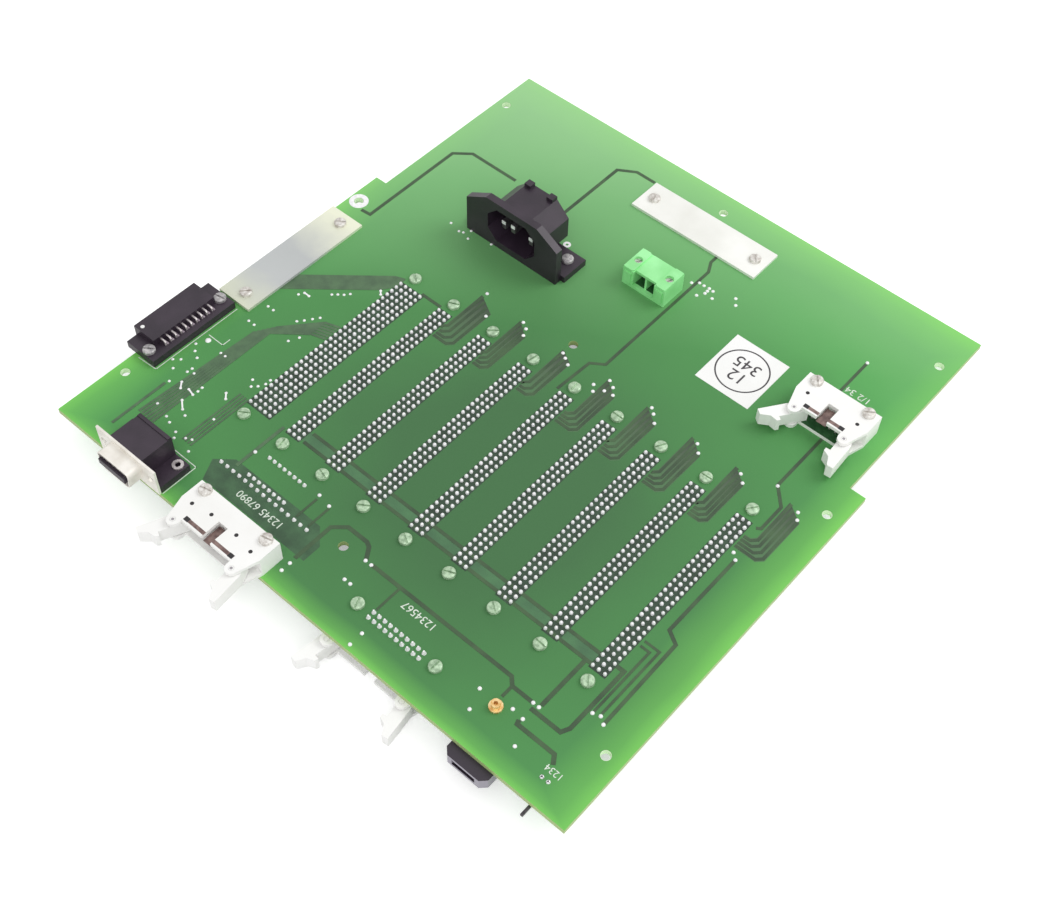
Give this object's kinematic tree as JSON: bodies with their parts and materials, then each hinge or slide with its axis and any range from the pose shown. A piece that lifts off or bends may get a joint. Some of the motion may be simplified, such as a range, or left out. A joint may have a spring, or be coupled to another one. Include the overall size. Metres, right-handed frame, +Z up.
{
  "type": "backplane board",
  "caption": "Green bus backplane board with a row of card sockets, mains inlet, latched ribbon headers, serial port, power terminal and screwed plates.",
  "frame": {"origin": "centre of the four corner mounting holes, on the face of the board that shows the solder tails", "axes": "+X across the card slots, +Y towards the rear edge, +Z up from the solder side; the card sockets hang below"},
  "size_m": [0.2469, 0.2733, 0.037],
  "materials": {
    "black_plastic": "black moulded plastic",
    "board_laminate": "green solder mask over glass laminate, semi-gloss",
    "contact_metal": "tinned contact metal",
    "gold": "gold plated",
    "green_plastic": "light green moulded plastic",
    "label_paper": "white label stock",
    "plate_metal": "plain satin sheet metal",
    "screw_steel": "zinc plated steel",
    "shell_metal": "tinned steel shell",
    "socket_plastic": "light grey-beige moulded plastic",
    "solder": "bright tin-lead solder",
    "white_plastic": "off-white moulded plastic"
  },
  "bodies": {
    "board": {"card_socket_1": "socket_plastic", "card_socket_2": "socket_plastic", "card_socket_3": "socket_plastic", "card_socket_4": "socket_plastic", "card_socket_5": "socket_plastic", "card_socket_6": "socket_plastic", "card_socket_7": "socket_plastic", "card_socket_8": "socket_plastic", "circuit_board": "board_laminate", "display_header_body": "white_plastic", "display_header_pins": "contact_metal", "display_header_screws": "screw_steel", "edge_connector_body": "black_plastic", "edge_connector_pins": "contact_metal", "edge_connector_screws": "screw_steel", "front_socket_body": "black_plastic", "gold_terminal": "gold", "header_screws": "screw_steel", "inspection_label": "label_paper", "io_header_body": "white_plastic", "io_header_pins": "contact_metal", "lead_package_body": "black_plastic", "lead_package_leads": "contact_metal", "mains_inlet_blades": "contact_metal", "mains_inlet_housing": "black_plastic", "mains_inlet_screws": "screw_steel", "panel_header_body": "white_plastic", "panel_header_pins": "contact_metal", "pin_strip_body": "black_plastic", "pin_strip_pins": "contact_metal", "plate_screws": "screw_steel", "power_terminal_housing": "green_plastic", "power_terminal_inserts": "contact_metal", "power_terminal_pins": "contact_metal", "rear_plate": "plate_metal", "row_strip_body": "black_plastic", "row_strip_tails": "solder", "serial_boardlocks": "contact_metal", "serial_housing": "black_plastic", "serial_pins": "contact_metal", "serial_shell": "shell_metal", "side_plate": "plate_metal", "socket_screws": "screw_steel", "socket_tails_1": "solder", "socket_tails_2": "solder", "socket_tails_3": "solder", "socket_tails_4": "solder", "socket_tails_5": "solder", "socket_tails_6": "solder", "socket_tails_7": "solder", "socket_tails_8": "solder", "wide_card_socket": "socket_plastic", "wide_socket_tails": "solder"},
    "display_latch_left": {"display_latch_left": "white_plastic"},
    "display_latch_right": {"display_latch_right": "white_plastic"},
    "io_latch_left": {"io_latch_left": "white_plastic"},
    "io_latch_right": {"io_latch_right": "white_plastic"},
    "panel_latch_left": {"panel_latch_left": "white_plastic"},
    "panel_latch_right": {"panel_latch_right": "white_plastic"}
  },
  "joints": [
    {"name": "display_latch_left_hinge", "type": "hinge", "parent": "board", "child": "display_latch_left", "pos_m": [0.0197, -0.0891, -0.0071], "axis": [0, 0, -1], "range_deg": [-8, 52]},
    {"name": "display_latch_right_hinge", "type": "hinge", "parent": "board", "child": "display_latch_right", "pos_m": [0.0539, -0.0891, -0.0071], "axis": [0, 0, -1], "range_deg": [-52, 8]},
    {"name": "io_latch_left_hinge", "type": "hinge", "parent": "board", "child": "io_latch_left", "pos_m": [0.08195, 0.0856, 0.0047], "axis": [0, 0, 1], "range_deg": [-25, 35]},
    {"name": "io_latch_right_hinge", "type": "hinge", "parent": "board", "child": "io_latch_right", "pos_m": [0.10345, 0.0856, 0.0047], "axis": [0, 0, 1], "range_deg": [-3, 57]},
    {"name": "panel_latch_left_hinge", "type": "hinge", "parent": "board", "child": "panel_latch_left", "pos_m": [-0.04636, -0.0955, 0.0047], "axis": [0, 0, 1], "range_deg": [-36, 24]},
    {"name": "panel_latch_right_hinge", "type": "hinge", "parent": "board", "child": "panel_latch_right", "pos_m": [-0.01724, -0.0955, 0.0047], "axis": [0, 0, 1], "range_deg": [-6, 54]}
  ]
}
